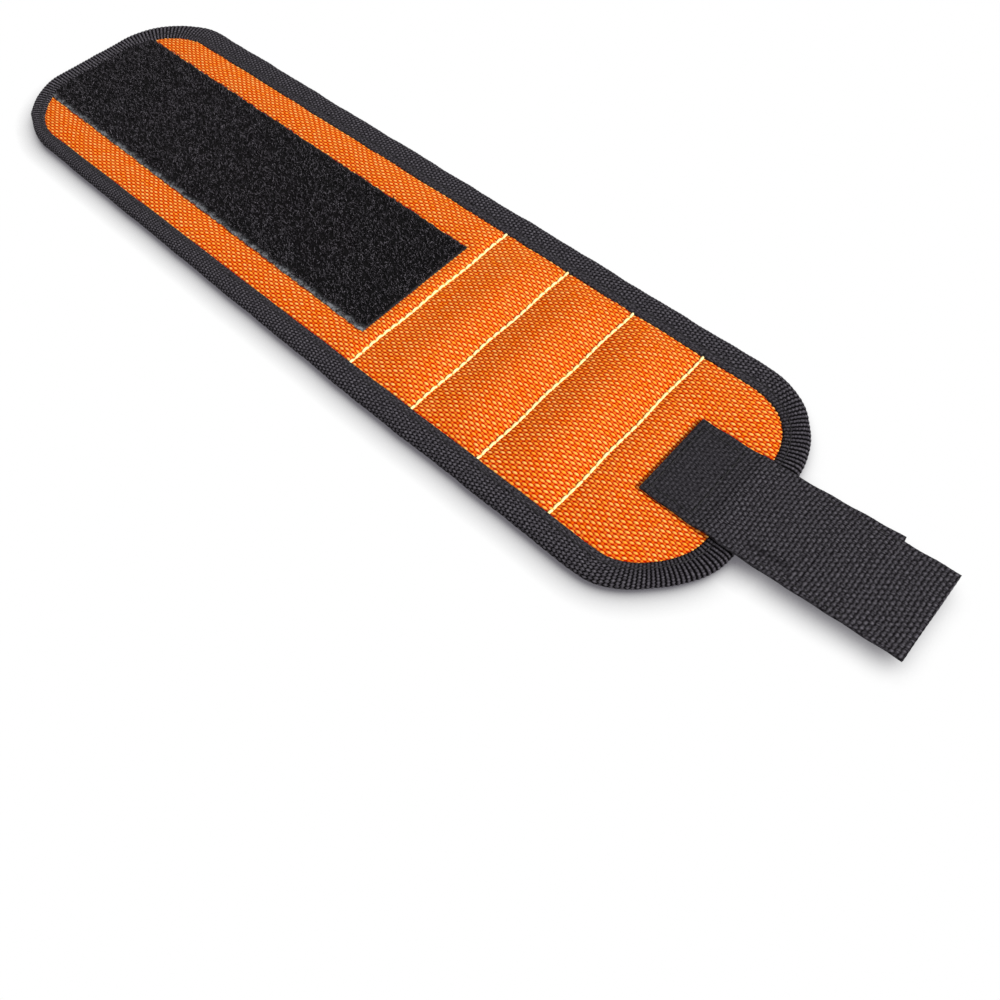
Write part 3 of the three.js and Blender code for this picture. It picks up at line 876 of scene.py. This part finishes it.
def shell_height(x, y):
    """Level of the outer cloth: crowned over the pockets, sunk and puckered at the stitch lines."""
    rise = crown(x, y)
    last = STITCH_LINES[-1]
    rise = rise * (1 - STRAP_PANEL_FLAT * eased(x, last - 3, last + 3))
    edge = half_outline(x, *LAPS)
    hem = HEM_DROP * eased(np.abs(y), edge - 0.4, edge + 0.8)
    dip = seam_share(x, DIP_REACH)
    pucker = PUCKER * np.sin(y / 1.9 + np.sin(x / 5)) * (seam_share(x, PUCKER_REACH) - dip)
    return SHELL_LEVEL - STITCH_DIP * dip + POCKET_CROWN * rise - hem + pucker


def shell_piece(i):
    """Outer cloth: its weave is in the mesh, and it sinks at the stitch lines."""
    hem, fine = WINDOW_HALF + 1, ROW_PITCH / 5
    ys = [(-CLOTH_HALF, 1), (-hem, 1.2)]
    if i < FIRST_STITCH:
        ys += [(TAPE_FRONT + 4, fine), (TAPE_REAR - 2, 5)]
    ys = stations(*ys, (hem, fine), (CLOTH_HALF, 1.2))
    x, y = cloth_grid(i, COLUMN_PITCH / 6, ys)
    along, across = yarn_drift(x, y)
    weave, over, tone = plain_weave(x + along, y + across)
    sewn_x, sewn_y = as_sewn(x, y)
    points = np.stack([sewn_x, sewn_y, shell_height(x, y) + WEAVE_RELIEF * weave], -1)
    values = {"lift": weave / 2 + 0.5, "lengthwise": over, "tone": tone}
    name = f"outer_cloth_{i + 1}"
    piece = new_piece(name, points, grid_faces(*x.shape), ORANGE, **values)
    bend(piece)
    stand_for(piece, i, "_shell")


def lining_piece(i):
    """Padded mesh against the wrist: puffed between the seams, with rows of open eyelets."""
    ys = stations((-CLOTH_HALF, 1), (-WINDOW_HALF, 2), (WINDOW_HALF, 0.65), (CLOTH_HALF, 2))
    x, y = cloth_grid(i, 0.75, ys)
    eyelet = np.cos(2 * np.pi * x / EYELET_PITCH[0]) * np.cos(2 * np.pi * y / EYELET_PITCH[1])
    eyelet = eased(eyelet, 0.3, 0.95)
    puff = read_rise(LINING_RISE, x, y)
    edge = half_outline(x, *LAPS)
    inside = 1 - eased(np.abs(y), edge - 1.2, edge)
    swell = LINING_SWELL[0] + LINING_SWELL[1] * puff
    low = LINING_EDGE - inside * (swell - EYELET_DEPTH * eyelet * (1 - seam_share(x, DIP_REACH)))
    bed = np.min([np.abs(x - (a + b) / 2) for a, b in zip(STITCH_LINES, STITCH_LINES[1:])], 0)
    high = LINING_TOP - BED_DEPTH * (1 - eased(bed, *BED_REACH)) - GROOVE_DEPTH * seam_share(x, 2)
    eyelets = np.zeros_like(x), eyelet * inside
    piece = slab(f"padded_lining_{i + 1}", as_sewn(x, y), high, low, LINING, eyelet=eyelets)
    bend(piece)
    stand_for(piece, i, "_lining")


# Section of the folded tape from the upper inner edge round the outside to the lower inner edge
# and back along its inner face: inset as a + b times the lap, and level. Its underside starts at
# number BINDING_UNDER.
BINDING_SECTION = [
    (0.0, 1.0, 2.9), (0.0, 1.0, 3.4), (-0.3, 1.0, 3.78), (-0.9, 1.0, 3.92),
    (-1.6, 1.0, 3.88), (-BINDING_SEAM, 1.0, 3.74), (-3.0, 1.0, 3.9), (-4.2, 1.0, 3.99),
    (2.6, 0.0, 3.95), (1.3, 0.0, 3.64), (0.55, 0.0, 3.08), (0.15, 0.0, 2.45),
    (0.05, 0.0, 1.95), (0.15, 0.0, 1.45), (0.6, 0.0, 0.8), (1.4, 0.0, 0.32),
    (2.7, 0.0, 0.14), (-4.2, 1.0, 0.12), (-3.0, 1.0, 0.18), (-BINDING_SEAM, 1.0, 0.42),
    (-1.6, 1.0, 0.2), (-0.9, 1.0, 0.14), (-0.3, 1.0, 0.28), (0.0, 1.0, 0.62),
]
BINDING_UNDER = 15
BINDING_INSIDE = [(0.0, 1.0, 0.82), (2.0, 0.0, 0.95), (1.1, 0.0, 1.95), (2.0, 0.0, 2.9)]


def half_edge(i):
    """Stations along the rear half of the band's edge between two cuts, from the middle of the
    loop end towards the middle of the strap end: place, outward direction, distance and lap."""
    step, quarter = RIB_PITCH / 5, math.pi / 2
    loop_side, strap_side = LOOP_END + LOOP_CORNER, STRAP_END - STRAP_CORNER
    first, last = i == 0, i == len(CUTS) - 2
    side = HALF_WIDTH - LOOP_CORNER + (LOOP_CORNER - RIB_LINE) * quarter
    rows = []

    def run(count, place):
        """Adds about this many stations, each placed by its share of the way."""
        rows.extend(place(t) for t in np.linspace(0, 1, max(2, math.ceil(count)))[:-1])

    def corner(x, radius, start, turn, distance, end_lap):
        """Adds a round corner."""
        def place(t):
            angle = start + turn * t
            out = math.cos(angle), math.sin(angle)
            spot = x + radius * out[0], HALF_WIDTH - radius + radius * out[1]
            lap = SIDE_LAP + (end_lap - SIDE_LAP) * out[0] ** 2
            return (*spot, *out, distance + (radius - RIB_LINE) * quarter * t, lap)
        run((radius - RIB_LINE) * quarter / step, place)

    if first:
        reach = HALF_WIDTH - LOOP_CORNER
        run(reach / step, lambda t: (LOOP_END, reach * t, -1, 0, reach * t, LOOP_END_LAP))
        corner(loop_side, LOOP_CORNER, math.pi, -quarter, reach, LOOP_END_LAP)
    low, high = max(CUTS[i], loop_side), min(CUTS[i + 1], strap_side)
    length = high - low
    start = side + low - loop_side
    run(length / step, lambda t: (low + length * t, HALF_WIDTH, 0, 1, start + length * t, SIDE_LAP))
    if last:
        start = side + high - loop_side
        corner(strap_side, STRAP_CORNER, quarter, -quarter, start, STRAP_END_LAP)
        start += (STRAP_CORNER - RIB_LINE) * quarter
        reach = HALF_WIDTH - STRAP_CORNER
        run(
            reach / step,
            lambda t: (STRAP_END, reach * (1 - t), 1, 0, start + reach * t, STRAP_END_LAP),
        )
        rows.append((STRAP_END, 0, 1, 0, start + reach, STRAP_END_LAP))
    else:
        rows.append((high, HALF_WIDTH, 0, 1, start + length, SIDE_LAP))
    return np.array(rows)


def edge_runs(i):
    """The edge between two cuts as runs that go round the band one way: two, or one at an end."""
    rear = half_edge(i)
    front = rear * np.array([1, -1, 1, -1, 1, 1])
    if i == 0:
        return [np.concatenate([front[:0:-1], rear])]
    if i == len(CUTS) - 2:
        return [np.concatenate([rear, front[-2::-1]])]
    return [rear, front[::-1]]


def gathers(along, side):
    """Slow swelling of the tape along the edge, where its seam draws it in."""
    return (
        0.10 * np.sin(along / 1.9 + side) * np.sin(along / 7.3 + 2 * side)
        + 0.12 * np.sin(along / 4.7 + 3 * side)
        + 0.08 * np.sin(along / 11.9)
    )


def binding_points(run):
    """Points of the folded tape along a run, and their distances along and across the tape."""
    anchors = np.array(BINDING_SECTION + BINDING_INSIDE)
    nominal = anchors[:, 0] + anchors[:, 1] * SIDE_LAP
    outer = len(BINDING_SECTION)
    gone = np.hypot(np.diff(nominal[:outer]), np.diff(anchors[:outer, 2]))
    gone = np.concatenate([[0], np.cumsum(gone)])
    at = stations((0, 1), (gone[BINDING_UNDER], BEAD_PITCH / 4), (gone[-1], BEAD_PITCH / 2))
    fine = np.stack([np.interp(at, gone, anchors[:outer, k]) for k in range(3)], -1)
    section = np.concatenate([fine, anchors[outer:]])
    across = np.concatenate([at, gone[-1] + 1 + np.arange(len(BINDING_INSIDE))])
    place, out, along, lap = run[:, :2], run[:, 2:4], run[:, 4], run[:, 5]
    swell = gathers(along, np.sign(place[:, 1]) * eased(np.abs(place[:, 1]), 0, 12))
    inset = section[None, :, 0] + section[None, :, 1] * lap[:, None]
    inset = inset - swell[:, None] * (0.8 * (inset < 3) + 0.5 * (inset >= 3))
    xy = place[:, None, :] - out[:, None, :] * inset[:, :, None]
    z = np.repeat(section[None, :, 2], len(run), 0)
    points = np.stack([*as_sewn(xy[..., 0], xy[..., 1]), z], -1)
    return points, np.broadcast_to(along[:, None], z.shape), np.broadcast_to(across, z.shape)


def binding_piece(i):
    """Ribbed tape folded round the edge and sewn through, with black stitches in its seam. Its ribs
    stand out at the band's ends, and on the sides its yarns show as beads."""
    parts, lines = [], []
    for run in edge_runs(i):
        points, along, across = binding_points(run)
        rows, columns = points.shape[:2]
        index = np.arange(rows * columns).reshape(rows, columns)
        index = np.concatenate([index, index[:, :1]], 1)
        faces = np.stack([index[:-1, :-1], index[1:, :-1], index[1:, 1:], index[:-1, 1:]], -1)
        at_end = np.broadcast_to(np.abs(run[:, 2:3]), along.shape)
        at_strap = np.broadcast_to(np.maximum(run[:, 2:3], 0), along.shape)
        flat = INNER_FLAT[0] * (1 - at_end) + INNER_FLAT[1] * at_strap
        flat = flat * (1 - eased(across, *INNER_EDGE))
        values = {"along": along, "across": across}
        values["ribbed"] = BINDING_RIBBED[0] + BINDING_RIBBED[1] * at_end
        values["raised"] = BINDING_RAISED[0] + BINDING_RAISED[1] * at_end - flat
        # Painted shade: the tape is painted darker where it faces out at the strap end
        values["tone"] = 1 - STRAP_END_SHADE * at_strap
        parts.append(new_piece(f"edge_binding_{i + 1}", points, faces, BINDING, **values))
        seam = run[:, :2] - run[:, 2:4] * (run[:, 5:] - BINDING_SEAM)
        seam = np.stack(as_sewn(seam[:, 0], seam[:, 1]), -1)
        for level in BINDING_THREAD_LEVELS:
            lines.append(np.column_stack([seam, np.full(len(seam), level)])[::4])
    piece = join(*parts) if len(parts) > 1 else parts[0]
    face_out(piece)
    grow(piece, RIBS)
    thread = sew(f"binding_thread_{i + 1}", lines, BLACK_STITCHES, BINDING_STITCH)
    face_out(piece, cap=True)
    join(piece, thread)
    bend(piece)
    stand_for(piece, i, "_binding", "_binding_front", "_binding_rear")


def tape_start(y):
    """Where the loop tape begins: along the inner edge of the loop end's binding."""
    side, end = SIDE_LAP + 0.15, LOOP_END_LAP + 0.15
    radius = LOOP_CORNER - (side + end) / 2
    past = np.clip(np.abs(y) - (HALF_WIDTH - side - radius), 0, radius)
    return LOOP_END + end + radius - np.sqrt(radius**2 - past**2)


def loop_tape_piece(i):
    """Loop tape: a knitted ground with bare edges, covered with loops."""
    columns, row_step = 72, 0.7
    ys = np.linspace(TAPE_FRONT + 0.2, TAPE_REAR - 0.2, columns)
    low = np.full_like(ys, CUTS[i])
    if i == 0:
        low = tape_start(ys + TAPE_SKEW * (LOOP_END - TAPE_SKEW_ABOUT))
    high = min(CUTS[i + 1], TAPE_END)
    rows = math.ceil((high - low.min()) / row_step) + 1
    x = low[None, :] + np.linspace(0, 1, rows)[:, None] * (high - low)[None, :]
    y = np.repeat(ys[None, :], rows, 0)
    front, rear, end = y - TAPE_FRONT, TAPE_REAR - y, TAPE_END - x
    rim = np.minimum(np.minimum(front, rear), end)
    top = TAPE_LEVEL - TAPE_EDGE_DROP * (1 - eased(rim, 0, 0.9))
    bottom = np.full_like(x, SHELL_LEVEL + 0.05)
    at_side = 1 - eased(np.minimum(front, rear), 0.2, 1.5)
    ragged = 0.2 * np.sin(x / 0.9 + 2 * np.sin(x / 2.3)) * at_side
    place = as_sewn(x, 0 * y)[0], y + ragged + TAPE_SKEW * (x - TAPE_SKEW_ABOUT)
    inner = front + 0.4 * np.sin(x / 1.3 + 2 * np.sin(x / 3.9))
    pile = eased(inner, 0.2, FRONT_SELVEDGE + 1.2)
    pile = pile * eased(rear, REAR_SELVEDGE - 0.4, REAR_SELVEDGE + 0.4) * eased(end, 0, 0.5)
    fringe = 1 - eased(inner, 0.4, FRONT_SELVEDGE + 1.2)
    values = {"pile": (pile, np.zeros_like(pile)), "front": (fringe, fringe)}
    piece = slab(f"loop_tape_{i + 1}", place, top, bottom, LOOP_GROUND, **values)
    grow(piece, PILE, seed=i + 3)
    bend(piece)
    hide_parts(f"{PANELS[i]}_loop_tape")


def stitch_row(i):
    """A row of lemon stitches across the band, and its black lower thread on the lining."""
    ys = np.linspace(0.4 - WINDOW_HALF, WINDOW_HALF - 0.4, 80)
    x, y = as_sewn(BENDS[i] + 0.2 * np.sin(ys / 4.3 + i), ys)
    level = SHELL_LEVEL - STITCH_DIP + 0.1
    rows = [np.column_stack([x, y, np.full_like(y, z)]) for z in (level, LOWER_THREAD_LEVEL)]
    name = f"stitch_row_{i - FIRST_STITCH + 1}"
    upper = sew(name, rows[:1], LEMON_STITCHES, POCKET_STITCH)
    piece = join(upper, sew("lower_thread", rows[1:], BLACK_STITCHES, LOWER_STITCH))
    bend(piece)


# Strap

def strap_level(u):
    """Level of the strap's underside: on the cloth at first, then up over the binding."""
    return STRAP_SEAT + (STRAP_HIGH - STRAP_SEAT) * eased(u, *STRAP_CLIMB)


def strap_width(u, share):
    """v at a share of the strap's width from -1 to 1. The rear edge stands out a little more and
    more as far as the tab, where the hook tape ends."""
    more = STRAP_WIDENS * np.where(u < STRAP_STEP, np.clip(u / STRAP_STEP, 0, 1), 0)
    return share * STRAP_HALF + np.clip(share, 0, 1) * more


def dent(u, v):
    """How far the strap's upper face sinks at its box of stitches and at a crease."""
    box = np.zeros_like(u)
    for (u0, v0), (u1, v1) in zip(BOX_STITCH, BOX_STITCH[1:]):
        du, dv = u - np.clip(u, min(u0, u1), max(u0, u1)), v - np.clip(v, min(v0, v1), max(v0, v1))
        box = np.maximum(box, np.exp(-(du**2 + dv**2) / 0.6))
    start, end, at, slope, depth = CREASE
    reach = eased(u, start, start + 4) * (1 - eased(u, end - 6, end))
    crease = reach * np.exp(-((v - at - slope * (u - start)) ** 2) / 0.6)
    return BOX_DENT * box + depth * crease


def strap_piece(name, low, high, nodes):
    """A length of ribbed webbing with rounded edges."""
    us = np.linspace(low, high, math.ceil((high - low) / STRAP_RIB * 5) + 1)
    shares = np.linspace(-1, 1, math.ceil(2 * STRAP_HALF / STRAP_BEAD * 6) + 1)
    u, share = np.meshgrid(us, shares, indexing="ij")
    v = strap_width(u, share) + 0.1 * share * np.sin(u / 1.7 + 2 * share)
    into = np.minimum(STRAP_HALF * (1 - np.abs(share)), np.minimum(u, STRAP_LENGTH - u) + 0.3)
    round_edge = np.sqrt(1 - (1 - np.clip(into / STRAP_ROUNDING, 0, 1)) ** 2)
    half = STRAP_THICKNESS / 2 * (0.25 + 0.75 * round_edge)
    middle = strap_level(u) + STRAP_THICKNESS / 2 - TAB_DROP * (u > STRAP_STEP)
    sunk = dent(u, v)
    top, bottom = middle + half - sunk, middle - half
    along, across = u + 0.25 * np.sin(v / 4.7), v + 0.2 * np.sin(u / 5.3)
    free = eased(u, *SEWN_END_FADE)
    both = {"along": along, "across": across, "ribbed": np.full_like(u, STRAP_RIBBED)}
    both["raised"] = round_edge * (0.6 + 0.4 * free)
    # Painted shade: the webbing is painted darker where it sinks, at its box of stitches and along the
    # crease. It is also darker towards the sewn end.
    both["tone"] = (0.7 + 0.3 * free) * (1 - 1.3 * sunk)
    values = {key: (value, value) for key, value in both.items()}
    piece = slab(name, strap_place(u, v), top, bottom, WEBBING, **values)
    grow(piece, RIBS, pitch=STRAP_RIB, height=STRAP_RIB_HEIGHT * MM, yarn=STRAP_BEAD)
    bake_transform(piece)
    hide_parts(*nodes)


def strap_line(corners, level):
    """A line of stitches on the strap through corners in u and v."""
    points = []
    for a, b in zip(corners, corners[1:]):
        points += [np.array(a) + (np.array(b) - np.array(a)) * t for t in np.linspace(0, 1, 20)]
    u, v = np.array(points).T
    x, y = strap_place(u, v)
    return np.column_stack([x, y, np.full_like(x, level)])


def hook_tape_piece():
    """Hook tape under the free strap, sewn to it along both sides."""
    us = np.linspace(HOOK_FROM, HOOK_TO, HOOK_GRID[0])
    vs = np.linspace(0.6 - STRAP_HALF, STRAP_HALF + STRAP_WIDENS - 0.4, HOOK_GRID[1])
    u, v = np.meshgrid(us, vs, indexing="ij")
    top, bottom = np.full_like(u, STRAP_HIGH - 0.1), np.full_like(u, HOOK_LEVEL)
    piece = slab("hook_tape_face", strap_place(u, v), top, bottom, HOOKS)
    grow(piece, HOOK_ROWS)
    seams = [[(HOOK_FROM + 1, side), (HOOK_TO - 1, side)] for side in HOOK_SEAMS]
    lines = [strap_line(seam, STRAP_HIGH + STRAP_THICKNESS - 0.05) for seam in seams]
    join(piece, sew("hook_tape_thread", lines, BLACK_STITCHES, HOOK_TAPE_STITCH))
    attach(piece, "strap_free")
    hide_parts("hook_tape")


def box_stitch_piece():
    """Black box of stitches that holds the strap's end on the band."""
    level = STRAP_SEAT + STRAP_THICKNESS - 0.1
    line = strap_line(BOX_STITCH, level)
    thread = sew("strap_box_stitch", [line], BLACK_STITCHES, STRAP_STITCH)
    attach(thread, "strap_panel")


for bend_line in range(len(BENDS)):
    shell_piece(bend_line)
    lining_piece(bend_line)
    binding_piece(bend_line)
    if bend_line <= FIRST_STITCH:
        loop_tape_piece(bend_line)
    if bend_line >= FIRST_STITCH:
        stitch_row(bend_line)

strap_piece(
    "strap_lower", 0.0, MID_STRAP,
    ("strap_sewn_end", "strap_free_length"),
)
strap_piece(
    "strap_upper", MID_STRAP, STRAP_LENGTH,
    ("strap_pull_tab",),
)
hook_tape_piece()
box_stitch_piece()

for name, node in frame["nodes"].items():
    if "_magnet_" in name:
        node.data.materials.clear()
        node.data.materials.append(NICKEL)


# Stage

def aim(place, target):
    """Places a lamp so that it looks from one point at another."""
    back = np.array(place, float) - np.array(target, float)
    back /= np.linalg.norm(back)
    right = np.cross((0, 0, 1), back)
    right /= np.linalg.norm(right)
    turned = Matrix(np.column_stack([right, np.cross(back, right), back]).tolist())
    return Matrix.Translation(np.array(place) * MM) @ turned.to_4x4()


def studio():
    """A white floor that shows only the soft shadow under the band, and soft light from above."""
    scene = bpy.context.scene
    scene.view_settings.view_transform = "Standard"

    material = bpy.data.materials.new("white_floor")
    tree = empty_tree(material)
    lean = add(tree, "ShaderNodeCombineXYZ", {"X": 0.05, "Y": 0.45, "Z": 0.9})
    near = {"Distance": SHADOW_REACH * MM, "Normal": lean}
    shade = add(tree, "ShaderNodeAmbientOcclusion", near, samples=24).outputs["AO"]
    share = add(tree, "ShaderNodeMapRange", {"Value": shade, "From Min": 0.35, "From Max": 0.96})
    tint = add(tree, "ShaderNodeMix", {"Factor": share, "A": SHADOW, "B": "#ffffff"}, data_type="RGBA")
    clear = add(tree, "ShaderNodeBsdfTransparent", {"Color": tint})
    add(tree, "ShaderNodeOutputMaterial", {"Surface": clear})
    sides = (-1, -1), (1, -1), (1, 1), (-1, 1)
    corners = [(x * FLOOR_REACH, y * FLOOR_REACH, FLOOR_LEVEL) for x, y in sides]
    floor = new_piece("floor", corners, [(0, 1, 2, 3)], material)
    for kind in ("diffuse", "glossy", "transmission", "shadow"):
        setattr(floor, f"visible_{kind}", False)

    world = bpy.data.worlds.new("white_studio")
    scene.world = world
    tree = empty_tree(world)
    ray = add(tree, "ShaderNodeLightPath").outputs
    seen = {0: ray["Is Camera Ray"], 1: ray["Is Glossy Ray"]}
    seen = add(tree, "ShaderNodeMath", seen, operation="MAXIMUM")
    seen = add(tree, "ShaderNodeMath", {0: seen, 1: ray["Is Transmission Ray"]}, operation="MAXIMUM")
    room = add(tree, "ShaderNodeBackground", {"Color": "#ffffff", "Strength": ROOM_LIGHT})
    white = add(tree, "ShaderNodeBackground", {"Color": "#ffffff", "Strength": 1.0})
    both = add(tree, "ShaderNodeMixShader", {0: seen, 1: room, 2: white})
    add(tree, "ShaderNodeOutputWorld", {"Surface": both})

    for name, place, size, power in LAMPS:
        light = bpy.data.lights.new(name, "AREA")
        light.shape = "DISK"
        light.size = size * MM
        light.energy = power
        new_object(name, light).matrix_world = aim(place, LAMP_TARGET)


studio()

camera = new_object("camera", bpy.data.cameras.new("camera"))
camera.data.lens = CAMERA_LENS
camera.data.clip_start = 10 * MM
turns = (("Z", CAMERA_HEADING), ("X", CAMERA_TILT), ("Z", CAMERA_ROLL))
camera.matrix_world = Matrix.Translation([c * MM for c in CAMERA_PLACE])
for axis, angle in turns:
    camera.matrix_world = camera.matrix_world @ Matrix.Rotation(math.radians(angle), 4, axis)
bpy.context.scene.camera = camera
